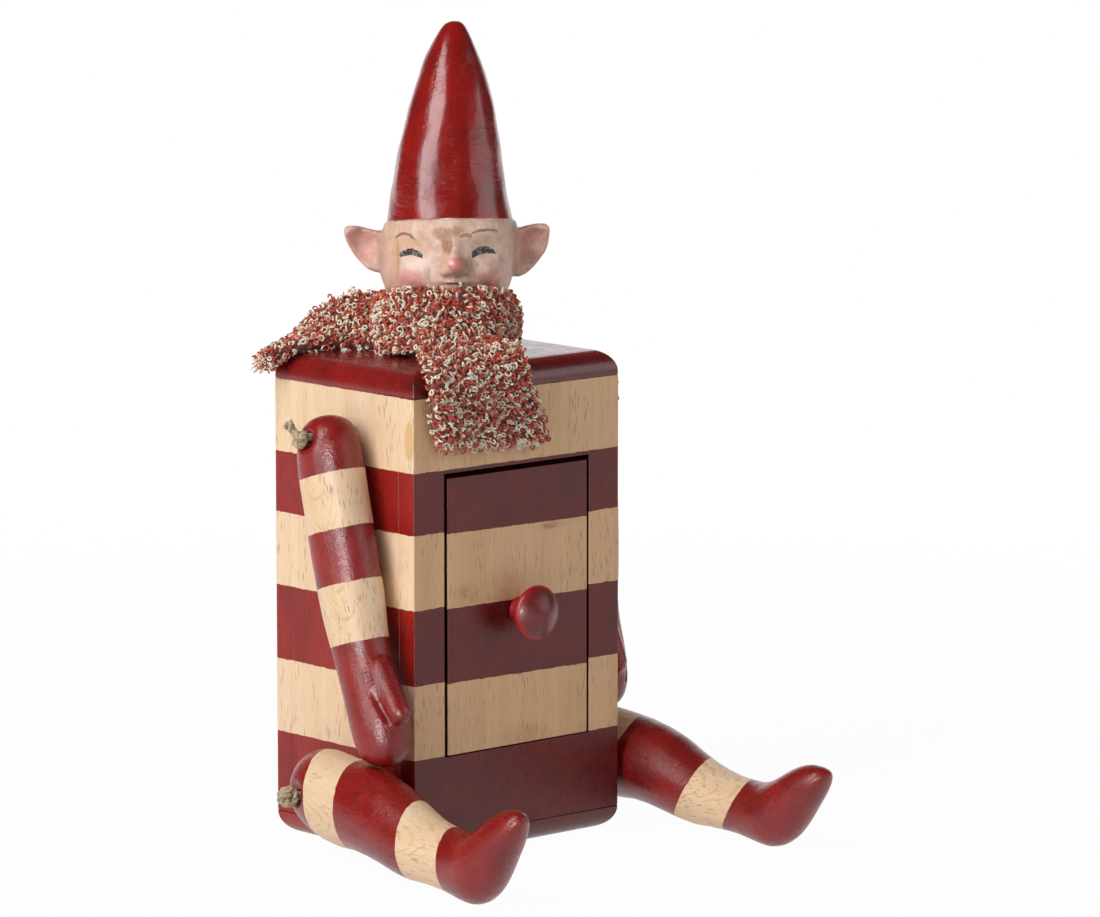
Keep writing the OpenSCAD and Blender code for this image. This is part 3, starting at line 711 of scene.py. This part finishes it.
def skinFinish():
    material, shader, coords = newMaterial("paintedSkin")
    parts = axes(turned(coords, z=head["turn"]))
    across, up = parts["X"], minus(parts["Z"], head["foot"]*mm)
    wobble = remap(cloud(coords, 900, 3), 0.2, 0.8, -0.25*mm, 0.25*mm, False)  # an unsteady hand
    drawnAcross, drawnUp = plus(across, wobble), plus(up, wobble)
    front = calc("LESS_THAN", parts["Y"], -6*mm)
    mottle = remap(cloud(coords, 240, 5, 0.7), 0.3, 0.7)
    colour = mix(mottle, (0.64, 0.39, 0.29), (0.84, 0.6, 0.49))
    for amount, patchy, tint in (
            (0.35, remap(cloud(coords, 65, 3), 0.35, 0.65), (0.6, 0.33, 0.22)),
            (0.45, remap(cloud(coords, 230, 5, 0.75), 0.53, 0.6), (0.86, 0.68, 0.58)),
            (0.28, remap(cloud(stretched(coords, 420, 420, 200), 1, 6, 0.75), 0.57, 0.63),
             (0.46, 0.23, 0.12))):
        colour = mix(times(patchy, amount), colour, tint)
    worn = remap(cloud(coords, 520, 4, 0.7), 0.34, 0.56, 0.6, 1)

    def patch(colour, x, h, w, t, tint, amount, soft=0.6):
        mask = times(oval(drawnAcross, drawnUp, x, h, w, t, soft), front, times(worn, amount))
        return mix(mask, colour, tint)

    def arch(x, top, half, drop, thick, heavy):
        mask = use(archStroke, across=drawnAcross, up=drawnUp, middle=x*mm, top=top*mm, halfWidth=half*mm,
                   drop=drop*mm, thickness=thick*mm, heavyEnd=heavy)["Mask"]
        return times(mask, front)

    for row in head["patches"]:
        colour = patch(colour, *row)
    for x, top, half, drop, thick, tint, amount in head["strokes"]:
        colour = mix(times(arch(x, top, half, drop, thick, 0), amount), colour, tint)
    # pale flecks in the black eyes: partly mottled paint, partly painted glints
    flecks = remap(cloud(coords, 850, 4, 0.8), 0.5, 0.6)
    black = mix(times(flecks, 0.75), (0.008, 0.008, 0.009), (0.36, 0.32, 0.28))
    for x, top, half, drop, thick, heavy in head["eyes"]:
        # a paler patch under each eye: a painted highlight
        colour = patch(colour, x, top - 2.4, half*0.7, 0.8, (0.8, 0.6, 0.47), 0.5)
        colour = mix(arch(x, top, half, drop, thick, heavy), colour, black)
    sideways = calc("ABSOLUTE", across)
    ear = remap(sideways, head["earFrom"][0]*mm, head["earFrom"][1]*mm)
    pink = mix(mottle, (0.56, 0.25, 0.2), (0.74, 0.38, 0.31))
    inner = remap(oval(sideways, up, *head["ear"], 0.35), 0, 1, 0.45, 0.95, False)
    colour = mix(times(ear, inner), colour, pink)
    # a dark ring where the ear meets the head: painted shade in the fold
    crease = times(remap(sideways, 18*mm, 19.4*mm), remap(sideways, 21.6*mm, 20.2*mm), 0.35)
    colour = mix(crease, colour, (0.32, 0.17, 0.1))
    brushed = cloud(stretched(coords, 700, 700, 260), 1, 4, 0.65)
    colour = mix(remap(brushed, 0.55, 0.75, 0, 0.18), colour, (0.42, 0.25, 0.15))
    height = plus(brushed, cloud(coords, 1700, 3))
    coat(shader, colour, height, 0.16, remap(brushed, 0.3, 0.7, 0.34, 0.55))
    return material


hat = {
    "foot": 33.5, "slope": 8.5, "shift": 1, "lean": 2.2, "bow": 0.5, "height": 59.2, "radius": 18.7,
    "rim": [(17.5, 0), (18.55, 0), (18.7, 0.25), (18.4195, 1.4)],
    # shares of the height and of the radius
    "profile": [(0.07, 0.955), (0.19, 0.905), (0.34, 0.832), (0.5, 0.728), (0.65, 0.612), (0.81, 0.45),
                (0.91, 0.3), (0.965, 0.2), (0.993, 0.12)],
    "dents": [(70, 40, 1), (190, 120, 0.35)], "dent": 0.8,  # how close across and up, and how strong
}


def buildHat():
    tall, wide = hat["height"], hat["radius"]
    rows = [(0, 0)] + hat["rim"] + [(wide*r, tall*h) for h, r in hat["profile"]] + [(0, tall)]
    rough = addObject("rough", latheShape(rows))
    roundOff(rough)
    bm = applied(rough)
    for vert in bm.verts:
        share = vert.co.z/(tall*mm)
        vert.co.x += (hat["lean"]*share - hat["bow"]*sin(pi*share))*mm
        x, y, z = vert.co
        dent = sum(strong*noise.noise(Vector((x*across, y*across, z*up)))
                   for across, up, strong in hat["dents"])
        vert.co += Vector((x, y, 0)).normalized()*dent*hat["dent"]*mm*min(share*8, 1)
    place = (Matrix.Translation((0, 0, head["foot"]*mm)) @ turning(-head["turn"], "Z", 4)
             @ Matrix.Translation((hat["shift"]*mm, 0, hat["foot"]*mm)) @ turning(-hat["slope"], "X", 4))
    bmesh.ops.transform(bm, matrix=place, verts=bm.verts)
    glossy = redFinish("redHat", "hat", 0.19, 0.4, dent=3)
    finishPiece("glossyHat", bm, [glossy], "hat")
    print("hat")


twine = {
    "shoulder": (60.7, -5, 125, 38), "hip": (65.9, -5, 20, None),  # reach, depth, height, turn of its tail
    "ply": 0.66, "layFrom": 0.62, "pitch": 5.2, "knot": 0.74, "tail": 5.2, "step": 0.6,
    "frayFrom": 2.6, "fray": 1.3, "thinEnd": 0.55,
}


def ringEnd(middle, side):  # a ring lying against the hole, with a short tail below it
    face = Vector((side*0.75, -0.6, 0.1)).normalized()
    flat = face.cross(Vector((0, 0, 1))).normalized()
    rise = flat.cross(face)
    points = []
    for step in range(15):
        turn = tau*(0.1 + step/14*1.2)
        out = flat*cos(turn) + rise*sin(turn)
        points.append(middle + out*2.1 + face*(step*0.1 - 0.5))
    tail = (Vector((side*0.5, 0.25, -0.8)) + face*0.2)*twine["tail"]*0.7
    return points + [points[-1] + tail*share for share in (0.4, 0.8)]


def knotEnd(middle, side, tailTurn):  # an overhand knot, with a tail that stands up
    points = []
    for step in range(19):
        t = 0.5 + step/18*5.1
        curl = Vector((-sin(3*t), sin(t) + 2*sin(2*t), cos(t) - 2*cos(2*t)))
        curl.x *= side*1.3
        points.append(middle + curl*twine["knot"]*0.9)
    away = turning(side*tailTurn, "Y") @ turning(-15, "X") @ Vector((0, 0, twine["tail"]))
    bend = Vector((0, 0.49, 0.7))
    return points + [middle + away*share + bend*share*share for share in (0.55, 0.75, 1)]


def twinePath(reach, y, z, tailTurn):  # from one loose end through the limbs and the box to the other
    right, left = (knotEnd(Vector((side*reach, y, z)), side, tailTurn) if tailTurn else
                   ringEnd(Vector((side*reach, y, z)), side) for side in (-1, 1))
    count, clear = int(reach*2/6), 2.4
    inside = [Vector((-reach + clear + 2*(reach - clear)*i/count, y, z)) for i in range(count + 1)]
    return right[::-1] + inside + left


def twistedTwine(name, node, path, material):
    dense = []
    for i in range(len(path) - 1):
        pieces = max(1, round((path[i + 1] - path[i]).length/twine["step"]))
        dense += [between(path, i, j/pieces) for j in range(pieces)]
    dense.append(path[-1])
    plies = [[], [], []]
    side, travelled = Vector((0, 0, 1)), 0
    for i, point in enumerate(dense):
        before, after = dense[max(i - 1, 0)], dense[min(i + 1, len(dense) - 1)]
        ahead = (after - before).normalized()
        side = (side - ahead*side.dot(ahead)).normalized()
        over = ahead.cross(side)
        travelled += (point - before).length
        toEnd = min(i, len(dense) - 1 - i)*twine["step"]
        apart = twine["layFrom"]*(1 + max(0, 1 - toEnd/twine["frayFrom"])*twine["fray"])
        for k, ply in enumerate(plies):
            turn = tau*(travelled/twine["pitch"] + k/3)
            ply.append(point + (side*cos(turn) + over*sin(turn))*apart)
    bm = roundStrands(name, [(ply, 0) for ply in plies], twine["ply"], 1, twine["thinEnd"])
    finishPiece(name, bm, [material], node)


def buildTwine():
    material, shader, coords = newMaterial("juteTwine", Sheen_Weight=0.3)
    fibre = cloud(coords, 2400, 4, 0.7)
    colour = mix(remap(fibre, 0.3, 0.7), (0.3, 0.215, 0.12), (0.72, 0.58, 0.38))
    coat(shader, colour, fibre, 0.3, remap(fibre, 0, 1, 0.95, 0.8))
    twistedTwine("shoulderTwine", "shoulder_cord", twinePath(*twine["shoulder"]), material)
    twistedTwine("hipTwine", "hip_cord", twinePath(*twine["hip"]), material)
    print("twine")


scarf = {
    "width": 41, "cloth": 1.5, "boxTop": 144.5, "fold": 0.6, "turnOver": 0.13, "step": 1.7, "fine": 1200,
    "across": 44, "seed": 7, "spacing": 1.12, "beyond": 0.75, "yarn": 0.28, "perPiece": 2300,
    "clear": 2.4, "nearBy": ("paintedHead", "lidBoard", "frontBoard", "rightBoard", "backBoard"),
    "rows": [],  # filled when the cloth is laid
    "hemLoops": 46, "frayedEnds": 34, "frayedColours": (0, 1, 2, 2), "edgeColours": (0, 0, 1, 2, 2),
    # stations: middle, direction across, visible width, distance between folded layers, outward bulge
    "front": [
        ([-11.6, -34.4, -22.5], (-1, 0, 0.05), 41.6, 1.5, 0),
        ([-14.7, -34.8, -13], (-1, 0, -0.02), 38.6, 1.5, 0),
        ([-17.7, -35.5, -5], (-1, 0, 0), 36.2, 1.5, 0),
        ([-18.2, -33.3, 1.4], (-0.85, 0.04, 0), 34.8, 1.5, 0),
        ([-16, -28, 4.2], (-0.78, 0.14, 0), 32.6, 1.5, 0.2),
        ([-12.8, -22.3, 7.2], (-0.7, 0.26, 0.25), 28.5, 1.6, 0.5),
    ],
    "chin": [(12, 0.75), (34, 0.25)],  # angle, and how much it leans over
    # round the neck: how deep, angle and spread of the hollow, the lift and the rise
    "waves": [(1.5, 100, 38), (3.2, 232, 24), (1.5, 322, 26)],
    "under": [(350, 3.4, -0.6, 18), (372, 6.4, -3.6, 13)],  # angle, tuck, lift, visible width
    # flat below the wrap: angle, distance from the neck's middle, height, visible width
    "hidden": [(400, 11.4, 3.2, 9.4), (440, 10.4, 2.9, 8.6), (480, 10.3, 2.8, 8.6), (520, 10.3, 2.8, 8.6),
               (555, 11, 2.8, 8.6), (585, 14, 3.2, 9)],
    "rear": [
        ([-11.5, 18.4, 7], (-0.4, -0.42, -0.8), 16.2, 2.3, 0.4),
        ([-16.8, 24.2, 7], (-0.3, -0.5, -0.8), 16.6, 2.4, 0.6),
        ([-23.6, 28.6, 4.4], (-0.25, -0.87, -0.4), 13.4, 2, 0.4),
        ([-29.2, 30, 1.9], (-0.4, -0.9, -0.05), 13.6, 1.1, 0.2),
        ([-34.8, 30.2, 0.9], (-0.55, -0.83, 0.05), 15, 0.75, 0.1),
        ([-40, 31, -0.4], (-0.55, -0.83, 0.15), 13.5, 0.75, 0),
        ([-44.2, 31.6, -2.6], (-0.5, -0.85, 0.2), 12, 0.7, 0),
    ],
}


def aroundNeck(angle, tuck=0, lift=0):  # a point of the wrap, angle from the face towards the toy's left
    front = ((1 + cos(radians(angle)))/2)**2
    turn = radians(angle - head["turn"])
    half = 7 + 4*front
    out = 17.3 + 3.95*front - tuck
    return [out*sin(turn), -out*cos(turn), half + 0.4 + lift], 2*half - 1.2


def scarfStations():
    rows = list(scarf["front"])
    for angle, lean in scarf["chin"]:
        point, tall = aroundNeck(angle, -1.4 + angle/30)
        turn = radians(angle - head["turn"])
        rows.append((point, (-cos(turn)*lean, -sin(turn)*lean, 1), tall + 2, 1.5, 0.9))
    for angle in range(62, 340, 30):
        hollow, lift, rise = (deep*exp(-((angle - middle)/spread)**2)
                              for deep, middle, spread in scarf["waves"])
        point, tall = aroundNeck(angle, hollow*0.7 + max(0, (angle - 310)/22), -hollow*0.5)
        point[2] += lift + rise
        rows.append((point, (0, 0, 1), tall - 1.4*lift - hollow - 1.7*rise, 1.45, 0.9))
    for angle, tuck, lift, wide in scarf["under"]:
        rows.append((aroundNeck(angle, tuck, lift)[0], (0, 0, 1), wide, 1.1, 0.3))
    for angle, out, up, wide in scarf["hidden"]:
        turn = radians(angle - head["turn"])
        rows.append(([out*sin(turn), -out*cos(turn), up], (-sin(turn), cos(turn), 0),
                     wide, 0.78, 0))
    return [Vector((*point, *Vector(across).normalized(), wide, gap, bulge))
            for point, across, wide, gap, bulge in rows + scarf["rear"]]


def layScarf():  # evenly spaced rows of the cloth; tells its length
    rows, fine, lengths = scarfStations(), [], [0]
    for k in range(scarf["fine"] + 1):
        t = k*(len(rows) - 1)/scarf["fine"]
        i = min(int(t), len(rows) - 2)
        fine.append(between(rows, i, t - i))
    for a, b in zip(fine, fine[1:]):
        lengths.append(lengths[-1] + (Vector(b[:3]) - Vector(a[:3])).length)
    total = lengths[-1]
    count = round(total/scarf["step"])
    stations, k = [], 0
    for i in range(count + 1):
        while k < scarf["fine"] - 1 and lengths[k + 1] < total*i/count:
            k += 1
        stations.append(fine[k])
    for i, row in enumerate(stations):
        before, after = stations[max(i - 1, 0)], stations[min(i + 1, count)]
        along = (Vector(after[:3]) - Vector(before[:3])).normalized()
        across = Vector(row[3:6]).normalized()
        scarf["rows"].append((Vector(row[:3]), across, along.cross(across).normalized(), *row[6:]))
    return total


def onScarf(i, s):  # i counts the rows, s runs across the flat cloth in mm
    low = min(max(int(i), 0), len(scarf["rows"]) - 2)
    f = i - low
    points = []
    for point, across, normal, wide, gap, bulge in scarf["rows"][low:low + 2]:
        q = max(s, 0)/wide
        turns = round(q)
        layer = 0
        if turns >= 1:
            fold = (q - turns + scarf["turnOver"])/(2*scarf["turnOver"])
            layer = turns - 1 + stepped(min(max(fold, 0), 1))
        swing = 1 - abs(1 - q % 2)
        layers = scarf["width"]/wide
        lift = gap*((layers - 1)/2 - layer) + bulge*(1 - (2*swing - 1)**2)*(1 if q < 1 else 0.4)
        if wide > 30:  # soft lengthwise folds where the cloth lies open
            lift += scarf["fold"]*cos(3*pi*(2*s/scarf["width"] - 1))
        points.append(point + across*(wide*(swing - 0.5) + min(s, 0)) + normal*lift)
    return points[0]*(1 - f) + points[1]*f + Vector((0, 0, scarf["boxTop"]))


def clothAxes(i, s, way=1):  # along the scarf, across it, and out of the cloth
    around = (onScarf(i + 0.25, s) - onScarf(i - 0.25, s)).normalized()
    over = (onScarf(i, s + 0.3*way) - onScarf(i, s - 0.3*way)).normalized()
    return around, over, around.cross(over).normalized()


def yarnFinish(name, dark, light):
    material, shader, coords = newMaterial(name, Sheen_Weight=0.25, Roughness=0.85)
    tone = remap(cloud(coords, 700, 3), 0.35, 0.65)
    fibre = cloud(coords, 2800, 3, 0.7)
    coat(shader, mix(plus(times(tone, 0.6), times(fibre, 0.4)), dark, light), fibre, 0.2)
    return material


def curlShape(rng, around, over, normal, size):  # points of one loop of yarn
    tilt = rng.uniform(0, 1.25)
    spin = rng.uniform(0, tau)
    e1 = around*cos(spin) + over*sin(spin)
    e2 = (over*cos(spin) - around*sin(spin))*cos(tilt) + normal*sin(tilt)
    rise = e1.cross(e2)
    turns = rng.choice((0.5, 0.62, 0.75, 0.9, 1.05))
    long = rng.uniform(0.85, 1.35)
    points = []
    for k in range(9):
        share = k/8 - 0.5
        a = tau*turns*share
        sink = 0.495*max(0, abs(2*share) - 0.6)/0.4
        points.append(e1*cos(a)*size*long + e2*sin(a)*size + rise*share*0.62 - normal*sink)
    return points


def faceLoops(length, covered, rng):  # loops that stand out from both faces and both edges
    lines, rows, width, half = [], len(scarf["rows"]) - 1, scarf["width"], scarf["cloth"]/2
    rowsLong, beyond = round(length/scarf["spacing"]), scarf["beyond"]
    rowsAcross = round((width + 2*beyond)/scarf["spacing"])
    for u in range(rowsLong + 1):
        places = []
        for v in range(rowsAcross + 1):
            row = u/rowsLong*rows
            s = -beyond + v/rowsAcross*(width + 2*beyond)
            span = (onScarf(row + 0.5, s) - onScarf(row - 0.5, s)).length
            for _ in range(min(3, max(1, round(span/scarf["step"])))):  # more where the cloth is stretched
                places.append(((u + rng.uniform(-0.45, 0.45))/rowsLong*rows, s + rng.uniform(-0.5, 0.5)))
        for i, s in places:
            middle = onScarf(i, s)
            around, over, normal = clothAxes(i, s)
            for face in (1, -1):
                out = normal*face
                if covered((middle + out*(half + 0.1))*mm, out):
                    continue
                lift = half + rng.uniform(0, 1.4)
                size = rng.uniform(0.46, 0.8)
                base = middle + out*lift
                streak = (0.28*sin(1.9*i*scarf["step"] + 0.9*s)
                          + 0.3*noise.noise(Vector((s*0.5, i*0.7, 3.1*face))) + rng.uniform(-0.36, 0.36))
                colour = 0 if streak > 0.04 else 1 if streak > -0.04 else 2
                lines.append(([base + p for p in curlShape(rng, around, over, out, size)], colour))
        for s, way in ((-0.1, -1), (width + 0.1, 1)):
            i = (u + rng.uniform(-0.45, 0.45))/rowsLong*rows
            around, over, normal = clothAxes(i, s, way)
            base = onScarf(i, s) + over*rng.uniform(-0.2, 0.8) + normal*rng.uniform(-0.7, 0.7)
            if not covered((base + over*0.8)*mm, over, False):
                curl = curlShape(rng, around, normal, over, rng.uniform(0.55, 0.9))
                lines.append(([base + p for p in curl], rng.choice(scarf["edgeColours"])))
    return lines


def endLoops(rng):  # ragged loops along the front end's hem, and frayed yarn at the rear tip
    lines = []
    for _ in range(scarf["hemLoops"]):
        foot = onScarf(0, rng.uniform(0, scarf["width"]))
        drop = rng.uniform(1.2, 3.4)
        wide = rng.uniform(0.7, 1.3)
        loop = [foot + Vector((wide*sin(a) + 0.2*rng.uniform(-1, 1), rng.uniform(-0.9, 0.5),
                               -drop*(1 - cos(a))/2 + 0.6)) for a in (tau*j/8 for j in range(9))]
        lines.append((loop, rng.choice(scarf["frayedColours"])))
    for _ in range(scarf["frayedEnds"]):
        foot = onScarf(len(scarf["rows"]) - 1.5, rng.uniform(0, scarf["width"]))
        reach = rng.uniform(1.8, 5.2)
        sway = Vector((-1, rng.uniform(-0.5, 0.4), rng.uniform(-0.75, 0.15))).normalized()
        phase = rng.uniform(0, tau)
        strand = [foot + sway*reach*j/7 + Vector((0, 0.45*sin(phase + j*1.1), 0.4*cos(phase + j*1.3)))
                  for j in range(8)]
        lines.append((strand, rng.choice(scarf["frayedColours"])))
    return lines


def buildScarf():
    length = layScarf()
    rows = len(scarf["rows"]) - 1
    bm = bmesh.new()
    bmesh.ops.create_grid(bm, x_segments=rows, y_segments=scarf["across"], size=0.5)
    for vert in bm.verts:
        vert.co = onScarf((vert.co.x + 0.5)*rows, (vert.co.y + 0.5)*scarf["width"])*mm
    cloth = addObject("rough", bm)
    wall = cloth.modifiers.new("thickness", "SOLIDIFY")
    wall.thickness, wall.offset = scarf["cloth"]*mm, 0
    bm = applied(cloth)
    itself = BVHTree.FromBMesh(bm)
    # the cloth under the loops is darker than the yarn: painted shade in the gaps between the loops
    knit = yarnFinish("shadedKnitGround", (0.09, 0.01, 0.008), (0.34, 0.07, 0.045))
    body = finishPiece("scarfKnit", bm, [knit], "scarf")
    near = [BVHTree.FromObject(bpy.data.objects[name], bpy.context.evaluated_depsgraph_get())
            for name in scarf["nearBy"]]

    def covered(origin, way, others=True):  # no room for a loop there
        if itself.ray_cast(origin, way, scarf["clear"]*mm)[0] is not None:
            return True
        return others and any(other.ray_cast(origin, way, 2.2*mm)[0] is not None for other in near)

    rng = random.Random(scarf["seed"])
    lines = faceLoops(length, covered, rng) + endLoops(rng)
    rng.shuffle(lines)
    yarns = [yarnFinish("redYarn", (0.3, 0.012, 0.009), (0.93, 0.15, 0.055)),
             yarnFinish("rustYarn", (0.66, 0.2, 0.1), (0.9, 0.42, 0.25)),
             yarnFinish("creamYarn", (0.9, 0.75, 0.55), (1, 0.95, 0.8))]
    for k in range(0, len(lines), scarf["perPiece"]):
        name = "yarnLoops" + str(k//scarf["perPiece"] + 1)
        bm = roundStrands(name, lines[k:k + scarf["perPiece"]], scarf["yarn"], 0, colours=yarns)
        finishPiece(name, bm, yarns)
    print("scarf:", round(length), "mm long,", len(lines), "loops")


placeCamera()
lightStudio()
buildBox()
buildKnob()
buildLimbs()
buildHead()
buildHat()
buildTwine()
buildScarf()

scene.view_settings.view_transform = "Standard"
